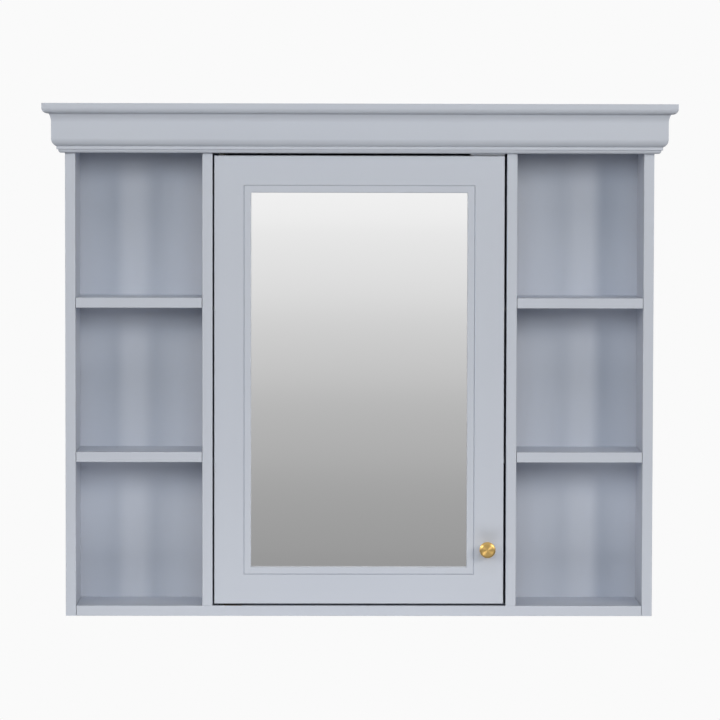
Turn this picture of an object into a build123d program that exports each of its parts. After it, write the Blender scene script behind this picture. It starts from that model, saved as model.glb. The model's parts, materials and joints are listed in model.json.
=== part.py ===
"""A wall-hung mirror cabinet: a mirrored door between two stacks of open niches, under a moulded crown.

Millimetres. +Z is up, +X is to the viewer's right and +Y is to the wall, so the door faces -Y. The origin is
on the wall plane, midway between the two wall-screw holes.
"""

import os

from build123d import *

# Case
board = 15.0  # sides, partitions, shelves, top, bottom and rails
case_depth = 135.0
niche_width = 185.0
niche_height = 211.0
niches_per_side = 3
door_opening_width = 430.0
edge_ease = 0.8  # the rounding of the boards' front edges
back_thickness = 5.0
groove_depth = 5.0  # of the groove that holds the back panel
joint_gap = 0.7  # the fine joint at each end of a niche shelf and of the bottom board

# Hanging on the wall
hole_below_rail_top = 43.0  # from the hanging rail's top down to the wall-screw holes
hole_spacing = 350.0
wall_hole_r = 3.0
hanging_rail_height = 80.0
hanging_rail_thickness = 15.0  # fills the recess behind the back panel

# Crown
cap_thickness = 15.0
cap_overhang = 32.0
cap_round = 8.0
fascia_height = 47.5
fascia_overhang = 18.9
cove_reach = 3.3  # how far the cove's top stands out past the fascia's flat
cove_height = 12.0
fascia_round_height = 11.0
bead_height = 9.5
bead_overhang = 11.5
bead_face = 4.5
bead_nose = 0.9
quirk_depth = 2.4
lower_step = 0.9
lower_cove_reach = 4.0

# Door
door_thickness = 19.0
gap_hinge_side = 2.5
gap_free_side = 3.5
gap_top = 3.5
gap_bottom = 3.0
frame_face = 43.0  # stiles and rails, up to the groove
strip_face = 11.0  # the strip between the frame and the mirror
strip_thickness = 7.0
strip_groove = 1.4  # the fine groove between the frame and the strip
strip_round = 1.5
glass_thickness = 4.0
glass_play = 0.8
door_ease = 1.5
door_dowel_r = 3.0
door_dowel_in = 18.0
door_dowel_rows = (25.0, 36.0)  # from the door's end

# Pivot hinges, let into the door's ends and into the boards above and below it
pivot_from_partition = 13.0
pivot_from_front = 7.5
pivot_pin_r = 3.0
pivot_pin_past_leaf = 2.0
leaf_thickness = 2.5
leaf_width = 10.0
leaf_length = 36.0
leaf_screw_pitch = 12.0
leaf_screws = 2
washer_r = 5.0
door_screw_length = 16.0
board_screw_length = 12.0

# Knob
knob_r = 11.7
knob_head = 7.0
knob_rim = 1.0
knob_neck_r = 4.5
knob_foot_r = 6.5
knob_foot = 2.5
knob_flare = 4.0
knob_projection = 22.0
knob_from_edge = 24.0
knob_from_bottom = 81.0
knob_screw_r = 2.0
knob_screw_bite = 9.0  # how far the screw goes into the knob

# Magnetic catch, under the top board at the door's free end
catch_width = 50.0
catch_flange = 2.6
catch_setback = 1.2  # of the flange's front edge
catch_block_width = 30.0
catch_block_height = 14.0
catch_block_depth = 16.0
magnet_width = 24.0
magnet_height = 6.0
magnet_depth = 12.0
pole_thickness = 1.2
pole_proud = 0.5
strike_thickness = 1.2
strike_width = 36.0
strike_height = 12.0
strike_from_top = 1.5
strike_screw_spread = 28.0
strike_gap = 0.3  # left between the closed door's strike and the poles
catch_screw_spread = 40.0

# Loose shelves behind the door
inner_shelf_thickness = 15.0
inner_shelf_play = 1.5  # at each end
inner_shelf_behind_door = 8.0
inner_shelf_rear_play = 0.6
inner_shelf_heights = (211.0, 437.0)  # undersides, over the bottom board
pin_r = 2.5
pin_plug = 9.0
pin_tongue = 9.0
pin_tongue_height = 4.5
pin_tongue_width = 7.0
pin_pitch = 32.0
pin_rows = 5  # drilled rows for each shelf
pin_from_front = 45.0
pin_from_back = 22.0

# Fasteners
fit = 0.05  # radial clearance of a dowel, screw or pin in its hole
end_play = 0.5  # left past the end of a dowel, screw or pin in its hole
dowel_r = 4.0
dowel_in_panel = 10.0
dowel_in_board = 20.0
case_dowel_front = 30.0
case_dowel_back = 25.0
shelf_dowel_r = 3.0
shelf_dowel_inset = 28.0
screw_r = 1.75
screw_head_r = 3.4
small_screw_r = 1.4
small_head_r = 2.7
pan_head = 1.8
crown_screw_length = 25.0
crown_screw_xs = (-360.0, -130.0, 130.0, 360.0)
crown_screw_ys = (40.0, 95.0)  # from the front of the case
crown_screw_under_cap = 29.0
clip_length = 24.0
clip_width = 12.0
clip_thickness = 1.5
clip_screw_length = 12.0
clips_up_stile = 3
clip_rise = 190.0
clips_along_rail = 2
clip_stride = 180.0

# Worked out from the above
sides = ((-1, "left"), (1, "right"))
back_rear_y = -hanging_rail_thickness
back_front_y = back_rear_y - back_thickness
front_y = -case_depth
opening_half = door_opening_width / 2
niche_inner_x = opening_half + board
niche_outer_x = niche_inner_x + niche_width
case_half = niche_outer_x + board
opening_height = niches_per_side * niche_height + (niches_per_side - 1) * board
header_z = hole_below_rail_top
ceiling_z = header_z - board
floor_z = ceiling_z - opening_height
bottom_z = floor_z - board
crown_top_z = ceiling_z + bead_height + fascia_height + cap_thickness
cap_under_z = crown_top_z - cap_thickness
groove_bottom_z = floor_z - groove_depth

door_left = -opening_half + gap_hinge_side
door_right = opening_half - gap_free_side
door_bottom = floor_z + gap_bottom
door_top = ceiling_z - gap_top
door_rear_y = front_y + door_thickness
door_mid_x = (door_left + door_right) / 2
door_mid_z = (door_bottom + door_top) / 2
pivot_x = -opening_half + pivot_from_partition
pivot_y = front_y + pivot_from_front
knob_x = door_right - knob_from_edge
knob_z = door_bottom + knob_from_bottom
catch_x = door_right - catch_width / 2
catch_block_front = door_rear_y + strike_thickness + strike_gap + pole_proud
catch_rear_y = catch_block_front + catch_block_depth
strike_z = door_top - strike_from_top - strike_height / 2

rightward, leftward = (1, 0, 0), (-1, 0, 0)
upward, downward = (0, 0, 1), (0, 0, -1)
wallward, frontward = (0, 1, 0), (0, -1, 0)


def facing(points, direction):
    """A place at each point whose outward side faces the direction: a hole there is drilled the other way."""
    return [Plane(origin=p, z_dir=direction) for p in points]


def slab(x0, x1, y0, y1, z0, z1, mode=Mode.ADD):
    """A straight block between six limits, added to the open part or cut from it."""
    with BuildSketch(Plane.XY.offset(z0)) as outline:
        with Locations(((x0 + x1) / 2, (y0 + y1) / 2)):
            Rectangle(abs(x1 - x0), abs(y1 - y0))
    extrude(outline.sketch, amount=z1 - z0, mode=mode)


def ease_front(piece, axis, amount=edge_ease):
    """Rounds the part's front edges that run along the axis."""
    fillet(piece.edges().filter_by(axis).group_by(Axis.Y)[0], radius=amount)


def on_side(points, side):
    """The points that lie on one side of the middle."""
    return [p for p in points if p[0] * side > 0]


def save(piece, name):
    """Labels a finished piece and writes it."""
    piece.part.label = name
    export_step(piece.part, f"parts/{name}.step")


os.makedirs("parts", exist_ok=True)

# Where the dowels cross the case's joints
dowel_ys = (front_y + case_dowel_front, back_front_y - case_dowel_back)
bottom_dowels = [(s * niche_outer_x, y, bottom_z + board / 2) for s, _ in sides for y in dowel_ys]
top_dowels = [(s * niche_outer_x, y, ceiling_z + board / 2) for s, _ in sides for y in dowel_ys]
header_dowels = [(s * niche_outer_x, front_y + board / 2, (header_z + cap_under_z) / 2) for s, _ in sides]
hanging_dowels = [
    (s * niche_outer_x, back_rear_y / 2, header_z - share * hanging_rail_height)
    for s, _ in sides
    for share in (0.25, 0.75)
]
end_dowels = bottom_dowels + top_dowels + header_dowels + hanging_dowels
foot_dowels = [(s * (opening_half + board / 2), y, floor_z) for s, _ in sides for y in dowel_ys]
head_dowels = [(s * (opening_half + board / 2), y, ceiling_z) for s, _ in sides for y in dowel_ys]
cap_dowels = [(s * (case_half - board / 2), y, cap_under_z) for s, _ in sides for y in dowel_ys]
shelf_levels = [floor_z + n * niche_height + (n - 1) * board for n in range(1, niches_per_side)]
shelf_dowel_ys = (front_y + shelf_dowel_inset, back_front_y - shelf_dowel_inset)

# Screws and pins that pass from one piece into the next, each at its head
wall_holes = [(x, 0, 0) for x in (-hole_spacing / 2, hole_spacing / 2)]
crown_screw_z = cap_under_z - crown_screw_under_cap
front_crown_screws = facing([(x, front_y + board, crown_screw_z) for x in crown_screw_xs], wallward)
side_crown_screws = {
    s: facing([(s * niche_outer_x, front_y + y, crown_screw_z) for y in crown_screw_ys], (-s, 0, 0))
    for s, _ in sides
}
leaf_screw_xs = [pivot_x + leaf_screw_pitch * n for n in range(1, leaf_screws + 1)]
ceiling_leaf_screws = facing([(x, pivot_y, ceiling_z) for x in leaf_screw_xs], downward)
floor_leaf_screws = facing([(x, pivot_y, floor_z) for x in leaf_screw_xs], upward)
door_top_screws = facing([(x, pivot_y, door_top) for x in leaf_screw_xs], upward)
door_bottom_screws = facing([(x, pivot_y, door_bottom) for x in leaf_screw_xs], downward)
catch_screw_y = (catch_block_front + catch_rear_y) / 2
catch_screws_at = facing(
    [(catch_x + s * catch_screw_spread / 2, catch_screw_y, ceiling_z - catch_flange) for s, _ in sides],
    downward,
)
strike_screws_at = facing(
    [
        (catch_x + s * strike_screw_spread / 2, door_rear_y + strike_thickness, strike_z)
        for s, _ in sides
    ],
    wallward,
)
knob_screw_at = facing([(knob_x, door_rear_y, knob_z)], wallward)


def shelf_dowel_points(side, level, x):
    """Both dowels of one end of a niche shelf, on the face of the panel it meets."""
    return [(side * x, y, level + board / 2) for y in shelf_dowel_ys]


def pin_places(side, rows):
    """The shelf pins' places in one partition's face, in the rows counted from each loose shelf's own."""
    return facing(
        [
            (side * opening_half, y, floor_z + height - pin_tongue_height / 2 + row * pin_pitch)
            for height in inner_shelf_heights
            for row in rows
            for y in (front_y + pin_from_front, back_front_y - pin_from_back)
        ],
        (-side, 0, 0),
    )


def leaf(z0, z1, mode=Mode.ADD):
    """A hinge leaf, round at both ends, the pin at one end's centre, added to the open part or cut from it."""
    span = leaf_length - leaf_width
    with BuildSketch(Plane.XY.offset(z0)) as outline:
        with Locations((pivot_x + span / 2, pivot_y)):
            SlotCenterToCenter(span, leaf_width)
    extrude(outline.sketch, amount=z1 - z0, mode=mode)


# Side panels, with the groove for the back panel
for side, word in sides:
    with BuildPart() as side_panel:
        slab(side * niche_outer_x, side * case_half, front_y, 0, bottom_z, cap_under_z)
        ease_front(side_panel, Axis.Z)
        slab(
            side * niche_outer_x,
            side * (niche_outer_x + groove_depth),
            back_front_y,
            back_rear_y,
            groove_bottom_z,
            cap_under_z,
            mode=Mode.SUBTRACT,
        )
        with Locations(*facing(on_side(end_dowels, side), rightward)):
            Hole(dowel_r + fit, dowel_in_panel)
        for level in shelf_levels:
            with Locations(*facing(shelf_dowel_points(side, level, niche_outer_x), rightward)):
                Hole(shelf_dowel_r + fit, dowel_in_panel)
        with Locations(*facing(on_side(cap_dowels, side), upward)):
            Hole(dowel_r + fit, dowel_in_board)
        with Locations(*side_crown_screws[side]):
            CounterSinkHole(screw_r + fit, screw_head_r + fit, crown_screw_length, 90)
    save(side_panel, f"side_panel_{word}")

# Bottom board, between the sides, with the partitions standing on it
with BuildPart() as bottom_board:
    end_x = niche_outer_x - joint_gap
    slab(-end_x, end_x, front_y, 0, bottom_z, floor_z)
    ease_front(bottom_board, Axis.X)
    slab(-end_x, end_x, back_front_y, back_rear_y, groove_bottom_z, floor_z, mode=Mode.SUBTRACT)
    with Locations(*facing(bottom_dowels, rightward)):
        Hole(dowel_r + fit, dowel_in_board)
    with Locations(*facing(foot_dowels, upward)):
        Hole(dowel_r + fit, dowel_in_panel)
    leaf(floor_z - leaf_thickness, floor_z, mode=Mode.SUBTRACT)
    with Locations(*floor_leaf_screws):
        Hole(small_screw_r + fit, board_screw_length + end_play)
save(bottom_board, "bottom_board")

# Top board, hidden behind the crown
with BuildPart() as top_board:
    slab(-niche_outer_x, niche_outer_x, front_y, back_front_y, ceiling_z, header_z)
    with Locations(*facing(top_dowels, rightward)):
        Hole(dowel_r + fit, dowel_in_board)
    with Locations(*facing(head_dowels, upward)):
        Hole(dowel_r + fit, dowel_in_panel)
    leaf(ceiling_z, ceiling_z + leaf_thickness, mode=Mode.SUBTRACT)
    with Locations(*ceiling_leaf_screws):
        Hole(small_screw_r + fit, board_screw_length + end_play)
    with Locations(*catch_screws_at):
        Hole(small_screw_r + fit, board_screw_length + end_play)
save(top_board, "top_board")

# Header rail, between the sides above the top board, behind the crown fascia
with BuildPart() as header_rail:
    slab(-niche_outer_x, niche_outer_x, front_y, front_y + board, header_z, cap_under_z)
    with Locations(*facing(header_dowels, rightward)):
        Hole(dowel_r + fit, dowel_in_board)
    with Locations(*front_crown_screws):
        CounterSinkHole(screw_r + fit, screw_head_r + fit, crown_screw_length, 90)
save(header_rail, "header_rail")

# Partitions, either side of the door, drilled for the shelf pins on the door's side
for side, word in sides:
    with BuildPart() as partition:
        slab(side * opening_half, side * niche_inner_x, front_y, back_front_y, floor_z, ceiling_z)
        ease_front(partition, Axis.Z)
        with Locations(*facing(on_side(foot_dowels + head_dowels, side), upward)):
            Hole(dowel_r + fit, dowel_in_board)
        for level in shelf_levels:
            with Locations(*facing(shelf_dowel_points(side, level, niche_inner_x), rightward)):
                Hole(shelf_dowel_r + fit, dowel_in_panel)
        with Locations(*pin_places(side, range(-(pin_rows // 2), pin_rows // 2 + 1))):
            Hole(pin_r + fit, pin_plug + end_play)
    save(partition, f"partition_{word}")

# Back panel, in the grooves of the sides and the bottom board, up to the crown's cap
with BuildPart() as back_panel:
    groove_end_x = niche_outer_x + groove_depth
    slab(-groove_end_x, groove_end_x, back_front_y, back_rear_y, groove_bottom_z, cap_under_z)
    with Locations(*facing(wall_holes, wallward)):
        Hole(wall_hole_r, case_depth)
save(back_panel, "back_panel")

# Hanging rail, behind the back panel, with the wall-screw holes
with BuildPart() as hanging_rail:
    slab(-niche_outer_x, niche_outer_x, back_rear_y, 0, header_z - hanging_rail_height, header_z)
    with Locations(*facing(hanging_dowels, rightward)):
        Hole(dowel_r + fit, dowel_in_board)
    with Locations(*facing(wall_holes, wallward)):
        Hole(wall_hole_r, case_depth)
save(hanging_rail, "hanging_rail")

# Niche shelves, dowelled into the sides and the partitions
for side, word in sides:
    for level, rank in zip(shelf_levels, ("lower", "upper")):
        with BuildPart() as niche_shelf:
            near_x = niche_inner_x + joint_gap
            far_x = niche_outer_x - joint_gap
            slab(side * near_x, side * far_x, front_y, back_front_y, level, level + board)
            ease_front(niche_shelf, Axis.X)
            for x in (niche_inner_x, niche_outer_x):
                with Locations(*facing(shelf_dowel_points(side, level, x), rightward)):
                    Hole(shelf_dowel_r + fit, dowel_in_board)
        save(niche_shelf, f"niche_shelf_{word}_{rank}")


def dowel_places(points, board_way, direction):
    """The middle of each dowel. It goes further into the board, which lies the way that board_way gives."""
    shift = (dowel_in_board - dowel_in_panel) / 2
    return facing([Vector(*p) + Vector(*board_way(p)) * shift for p in points], direction)


dowel_length = dowel_in_panel + dowel_in_board - 2 * end_play
with BuildPart() as case_dowels:
    with Locations(*dowel_places(end_dowels, lambda p: (-1 if p[0] > 0 else 1, 0, 0), rightward)):
        Cylinder(dowel_r, dowel_length)
    with Locations(*dowel_places(foot_dowels, lambda p: upward, upward)):
        Cylinder(dowel_r, dowel_length)
    with Locations(*dowel_places(head_dowels + cap_dowels, lambda p: downward, upward)):
        Cylinder(dowel_r, dowel_length)
save(case_dowels, "case_dowels")

with BuildPart() as shelf_dowels:
    for side, _ in sides:
        for level in shelf_levels:
            for x, inward in ((niche_inner_x, side), (niche_outer_x, -side)):
                ends = shelf_dowel_points(side, level, x)
                with Locations(*dowel_places(ends, lambda p: (inward, 0, 0), rightward)):
                    Cylinder(shelf_dowel_r, dowel_length)
save(shelf_dowels, "shelf_dowels")

# Crown: the cap board, rounded under its front and both ends
with BuildPart() as crown_cap:
    cap_end_x = case_half + cap_overhang
    slab(-cap_end_x, cap_end_x, front_y - cap_overhang, 0, cap_under_z, crown_top_z)
    fillet(crown_cap.edges().group_by(Axis.Z)[0].sort_by(Axis.Y)[:-1], radius=cap_round)
    with Locations(*facing(cap_dowels, upward)):
        Hole(dowel_r + fit, dowel_in_panel)
save(crown_cap, "crown_cap")


def fascia_outline():
    """The fascia's section: x out from the case, y up from the crown's top, in the open sketch."""
    top = -cap_thickness
    low = top - fascia_height
    flat_top = (fascia_overhang, top - cove_height)
    flat_low = (fascia_overhang, low + fascia_round_height)
    with BuildLine() as outline:
        TangentArc(flat_top, (fascia_overhang + cove_reach, top), tangent=(0, 1))
        Polyline((fascia_overhang + cove_reach, top), (0, top), (0, low), (bead_overhang, low))
        TangentArc(flat_low, (bead_overhang, low), tangent=(0, -1))
        Line(flat_low, flat_top)
    make_face(outline.edges())


def bead_outline():
    """The bead's section below the fascia: a face with an eased nose, a quirk and a small cove."""
    top = -cap_thickness - fascia_height
    low = top - bead_height
    face_low = top - bead_face
    nose_top = (bead_overhang, face_low + bead_nose)
    nose_end = (bead_overhang - bead_nose, face_low)
    step_x = bead_overhang - quirk_depth
    cove_foot = (step_x - lower_cove_reach, low)
    with BuildLine() as outline:
        TangentArc(nose_top, nose_end, tangent=(0, -1))
        Polyline(nose_end, (step_x, face_low), (step_x, face_low - lower_step))
        TangentArc((step_x, face_low - lower_step), cove_foot, tangent=(0, -1))
        Polyline(cove_foot, (0, low), (0, top), (bead_overhang, top), nose_top)
    make_face(outline.edges())


# Each moulding runs along the front and returns along both sides, mitred at the case's front corners
mitres = {s: Plane(origin=(s * case_half, front_y, 0), z_dir=(s, 1, 0)) for s, _ in sides}
front_section = Plane(origin=(0, front_y, crown_top_z), x_dir=frontward, z_dir=leftward)
for moulding, outline, screwed in (("fascia", fascia_outline, True), ("bead", bead_outline, False)):
    with BuildPart() as front_run:
        with BuildSketch(front_section):
            outline()
        extrude(amount=case_half + cap_overhang, both=True)
        for side, _ in sides:
            split(bisect_by=mitres[side], keep=Keep.BOTTOM)
        if screwed:
            with Locations(*front_crown_screws):
                Hole(screw_r + fit, crown_screw_length + end_play)
    save(front_run, f"crown_{moulding}_front")
    for side, word in sides:
        side_section = Plane(
            origin=(side * case_half, 0, crown_top_z), x_dir=(side, 0, 0), z_dir=(0, -side, 0)
        )
        with BuildPart() as return_run:
            with BuildSketch(side_section):
                outline()
            extrude(amount=side * (case_depth + cap_overhang))
            split(bisect_by=mitres[side], keep=Keep.TOP)
            if screwed:
                with Locations(*side_crown_screws[side]):
                    Hole(screw_r + fit, crown_screw_length + end_play)
        save(return_run, f"crown_{moulding}_{word}")


def cross_recess(head_r):
    """The driver's cross in a screw head, in the open sketch."""
    Rectangle(head_r, head_r / 5)
    Rectangle(head_r / 5, head_r)


def sunk_screw(length, shank_r, head_r):
    """A countersunk wood screw, its flat head's centre at the origin and its point downwards."""
    head = head_r - shank_r
    tip = 2 * shank_r
    with BuildPart() as screw:
        with BuildSketch(Plane.XZ):
            with BuildLine():
                Polyline(
                    (0, 0), (head_r, 0), (shank_r, -head), (shank_r, tip - length), (0, -length), close=True
                )
            make_face()
        revolve(axis=Axis.Z)
        with BuildSketch():
            cross_recess(head_r)
        extrude(amount=-head / 2, mode=Mode.SUBTRACT)
    return screw.part


def pan_screw(length, shank_r, head_r):
    """A pan-head screw, the underside of its head at the origin and its point downwards."""
    tip = 2 * shank_r
    with BuildPart() as screw:
        with BuildSketch(Plane.XZ):
            with BuildLine():
                Polyline((head_r, 0), (shank_r, 0), (shank_r, tip - length), (0, -length), (0, pan_head))
                TangentArc((0, pan_head), (head_r, 0), tangent=(1, 0))
            make_face()
        revolve(axis=Axis.Z)
        with BuildSketch(Plane.XY.offset(pan_head)):
            cross_recess(head_r)
        extrude(amount=-pan_head / 2, mode=Mode.SUBTRACT)
    return screw.part


def save_set(shape, places, name):
    """Writes one node that holds a copy of the shape at each place."""
    with BuildPart() as group:
        with Locations(*places):
            add(shape)
    save(group, name)


crown_places = front_crown_screws + [place for s, _ in sides for place in side_crown_screws[s]]
save_set(sunk_screw(crown_screw_length, screw_r, screw_head_r), crown_places, "crown_screws")

# Pivot hinges: a leaf let into the board, a leaf let into the door's end, a pin and a washer between them
leaf_head_r = small_head_r + fit
pivots = {"lower": (floor_z, door_bottom, 1), "upper": (ceiling_z, door_top, -1)}
for word, (board_z, door_z, way) in pivots.items():
    with BuildPart() as board_leaf:
        leaf(board_z, board_z - way * leaf_thickness)
        with Locations((pivot_x, pivot_y, board_z)):
            Hole(pivot_pin_r, case_depth)
        with Locations(*(floor_leaf_screws if way > 0 else ceiling_leaf_screws)):
            CounterSinkHole(small_screw_r + fit, leaf_head_r, 2 * leaf_thickness, 90)
    save(board_leaf, f"pivot_leaf_case_{word}")

    with BuildPart() as door_leaf:
        leaf(door_z, door_z + way * leaf_thickness)
        with Locations((pivot_x, pivot_y, door_z)):
            Hole(pivot_pin_r + fit, case_depth)
        with Locations(*(door_bottom_screws if way > 0 else door_top_screws)):
            CounterSinkHole(small_screw_r + fit, leaf_head_r, 2 * leaf_thickness, 90)
    save(door_leaf, f"pivot_leaf_door_{word}")

pin_reach = leaf_thickness + pivot_pin_past_leaf
with BuildPart() as pivot_pins:
    for board_z, door_z, way in pivots.values():
        with BuildSketch(Plane.XY.offset(board_z - way * leaf_thickness)):
            with Locations((pivot_x, pivot_y)):
                Circle(pivot_pin_r)
        extrude(amount=way * (leaf_thickness + abs(door_z - board_z) + pin_reach))
save(pivot_pins, "pivot_pins")

with BuildPart() as pivot_washers:
    for board_z, door_z, way in pivots.values():
        with BuildSketch(Plane.XY.offset(min(board_z, door_z))):
            with Locations((pivot_x, pivot_y)):
                Circle(washer_r)
                Circle(pivot_pin_r + fit, mode=Mode.SUBTRACT)
        extrude(amount=abs(door_z - board_z))
save(pivot_washers, "pivot_washers")

board_screw = sunk_screw(board_screw_length, small_screw_r, small_head_r)
save_set(board_screw, floor_leaf_screws + ceiling_leaf_screws, "pivot_screws_case")
door_screw = sunk_screw(door_screw_length, small_screw_r, small_head_r)
save_set(door_screw, door_bottom_screws + door_top_screws, "pivot_screws_door")

# The door's frame. The opening inside it takes the strips, the glass and the backing board.
frame_left = door_left + frame_face
frame_right = door_right - frame_face
frame_bottom = door_bottom + frame_face
frame_top = door_top - frame_face
rear_of_glass_y = front_y + strip_thickness + glass_thickness
rail_dowels = [
    (x, (front_y + door_rear_y) / 2, z)
    for x in (frame_left, frame_right)
    for row in door_dowel_rows
    for z in (door_bottom + row, door_top - row)
]
stile_clips = [
    ((x, door_rear_y, door_mid_z + (n - (clips_up_stile - 1) / 2) * clip_rise), (way, 0, 0))
    for x, way in ((frame_left, -1), (frame_right, 1))
    for n in range(clips_up_stile)
]
rail_clips = [
    ((door_mid_x + (n - (clips_along_rail - 1) / 2) * clip_stride, door_rear_y, z), (0, 0, way))
    for z, way in ((frame_bottom, -1), (frame_top, 1))
    for n in range(clips_along_rail)
]
clips_at = stile_clips + rail_clips  # the middle of each clip, on the joint, and the way to the frame
clip_screws_at = facing(
    [
        Vector(*edge) + Vector(*way) * (clip_length / 4) + Vector(*wallward) * clip_thickness
        for edge, way in clips_at
    ],
    wallward,
)

for side, word in sides:
    outer_x, inner_x = (door_left, frame_left) if side < 0 else (door_right, frame_right)
    with BuildPart() as stile:
        slab(outer_x, inner_x, front_y, door_rear_y, door_bottom, door_top)
        front_edges = stile.faces().sort_by(Axis.Y)[0].edges()
        fillet(front_edges.sort_by_distance((door_mid_x, front_y, door_mid_z))[1:], radius=door_ease)
        with Locations(*facing(rail_dowels, rightward)):
            Hole(door_dowel_r + fit, door_dowel_in + end_play)
        with Locations(*clip_screws_at):
            Hole(small_screw_r + fit, clip_screw_length + end_play)
        if side < 0:
            for board_z, door_z, way in pivots.values():
                leaf(door_z, door_z + way * leaf_thickness, mode=Mode.SUBTRACT)
                with Locations((pivot_x, pivot_y, door_z)):
                    Hole(pivot_pin_r + end_play, pin_reach + end_play)
            with Locations(*door_bottom_screws, *door_top_screws):
                Hole(small_screw_r + fit, door_screw_length + end_play)
        else:
            with Locations(*knob_screw_at):
                Hole(knob_screw_r + fit, 2 * door_thickness)
            with Locations(*strike_screws_at):
                Hole(small_screw_r + fit, board_screw_length + end_play)
    save(stile, f"door_stile_{word}")

for word, edge_z, inner_z, outermost in (
    ("bottom", door_bottom, frame_bottom, 0),
    ("top", door_top, frame_top, -1),
):
    with BuildPart() as door_rail:
        slab(frame_left, frame_right, front_y, door_rear_y, min(edge_z, inner_z), max(edge_z, inner_z))
        front_edges = door_rail.faces().sort_by(Axis.Y)[0].edges()
        fillet(front_edges.sort_by(Axis.Z)[outermost], radius=door_ease)
        with Locations(*facing(rail_dowels, rightward)):
            Hole(door_dowel_r + fit, door_dowel_in + end_play)
        with Locations(*clip_screws_at):
            Hole(small_screw_r + fit, clip_screw_length + end_play)
    save(door_rail, f"door_rail_{word}")

with BuildPart() as door_dowels:
    with Locations(*facing(rail_dowels, rightward)):
        Cylinder(door_dowel_r, 2 * door_dowel_in)
save(door_dowels, "door_dowels")

# The four mitred strips between the frame and the mirror
sight_left, sight_right = frame_left + strip_face, frame_right - strip_face
sight_bottom, sight_top = frame_bottom + strip_face, frame_top - strip_face
frame_corners = [
    (frame_left, frame_bottom), (frame_right, frame_bottom), (frame_right, frame_top), (frame_left, frame_top)
]
sight_corners = [
    (sight_left, sight_bottom), (sight_right, sight_bottom), (sight_right, sight_top), (sight_left, sight_top)
]
door_front = Plane(origin=(0, front_y, 0), x_dir=rightward, z_dir=frontward)
for n, word in enumerate(("bottom", "right", "top", "left")):
    after = (n + 1) % 4
    with BuildPart() as strip:
        with BuildSketch(door_front):
            Polygon(frame_corners[n], frame_corners[after], sight_corners[after], sight_corners[n], align=None)
        extrude(amount=-strip_thickness)
        front_edges = strip.faces().sort_by(Axis.Y)[0].edges().sort_by(SortBy.LENGTH)
        fillet(front_edges[-2], radius=strip_round)
        front_edges = strip.faces().sort_by(Axis.Y)[0].edges().sort_by(SortBy.LENGTH)
        chamfer(front_edges[-1], length=strip_groove)
    save(strip, f"mirror_strip_{word}")

glass_limits = (
    frame_left + glass_play,
    frame_bottom + glass_play,
    frame_right - glass_play,
    frame_top - glass_play,
)
for name, near_y, far_y in (
    ("mirror_glass", front_y + strip_thickness, rear_of_glass_y),
    ("door_backing_board", rear_of_glass_y, door_rear_y),
):
    x0, z0, x1, z1 = glass_limits
    with BuildPart() as sheet:
        slab(x0, x1, near_y, far_y, z0, z1)
    save(sheet, name)

with BuildPart() as retaining_clips:
    for edge, way in clips_at:
        with BuildSketch(Plane(origin=edge, x_dir=way, z_dir=wallward)):
            RectangleRounded(clip_length, clip_width, clip_width / 4)
        extrude(amount=clip_thickness)
    with Locations(*clip_screws_at):
        Hole(small_screw_r + fit, clip_length)
save(retaining_clips, "retaining_clips")
clip_screw = pan_screw(clip_screw_length, small_screw_r, small_head_r)
save_set(clip_screw, clip_screws_at, "retaining_clip_screws")

# Knob, turned in one piece, with a screw from the back of the stile
with BuildPart() as knob:
    head_back = knob_projection - knob_head
    with BuildSketch(Plane(origin=(knob_x, front_y, knob_z), x_dir=rightward, z_dir=downward)):
        with BuildLine():
            Polyline((0, knob_projection), (0, 0), (knob_foot_r, 0), (knob_foot_r, knob_foot))
            neck_low = (knob_neck_r, knob_foot + knob_foot_r - knob_neck_r)
            neck_high = (knob_neck_r, head_back - knob_flare)
            RadiusArc((knob_foot_r, knob_foot), neck_low, -(knob_foot_r - knob_neck_r))
            Line(neck_low, neck_high)
            flare = TangentArc(neck_high, (knob_r - knob_rim, head_back), tangent=(0, 1))
            Polyline(
                flare @ 1,
                (knob_r, head_back + knob_rim),
                (knob_r, knob_projection - knob_rim),
                (knob_r - knob_rim, knob_projection),
                (0, knob_projection),
            )
        make_face()
    revolve(axis=Axis((knob_x, front_y, knob_z), frontward))
    with Locations(Plane(origin=(knob_x, front_y, knob_z), z_dir=wallward)):
        Hole(knob_screw_r + fit, knob_screw_bite + end_play)
save(knob, "knob")
knob_screw = pan_screw(door_thickness + knob_screw_bite, knob_screw_r, 2 * knob_screw_r)
save_set(knob_screw, knob_screw_at, "knob_screw")

# Magnetic catch: a moulded body with a wide flange, a magnet between two poles, and the door's strike plate
magnet_rear_y = catch_block_front + magnet_depth
magnet_limits = (catch_x - magnet_width / 2, catch_x + magnet_width / 2)
half_magnet = magnet_height / 2
with BuildPart() as catch_body:
    slab(
        catch_x - catch_width / 2,
        catch_x + catch_width / 2,
        front_y + catch_setback,
        catch_rear_y,
        ceiling_z - catch_flange,
        ceiling_z,
    )
    slab(
        catch_x - catch_block_width / 2,
        catch_x + catch_block_width / 2,
        catch_block_front,
        catch_rear_y,
        ceiling_z - catch_block_height,
        ceiling_z,
    )
    slab(
        *magnet_limits,
        catch_block_front,
        magnet_rear_y,
        strike_z - half_magnet - pole_thickness,
        strike_z + half_magnet + pole_thickness,
        mode=Mode.SUBTRACT,
    )
    with Locations(*catch_screws_at):
        Hole(small_screw_r + fit, 2 * catch_flange)
save(catch_body, "catch_body")

with BuildPart() as catch_magnet:
    slab(*magnet_limits, catch_block_front, magnet_rear_y, strike_z - half_magnet, strike_z + half_magnet)
save(catch_magnet, "catch_magnet")

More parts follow.
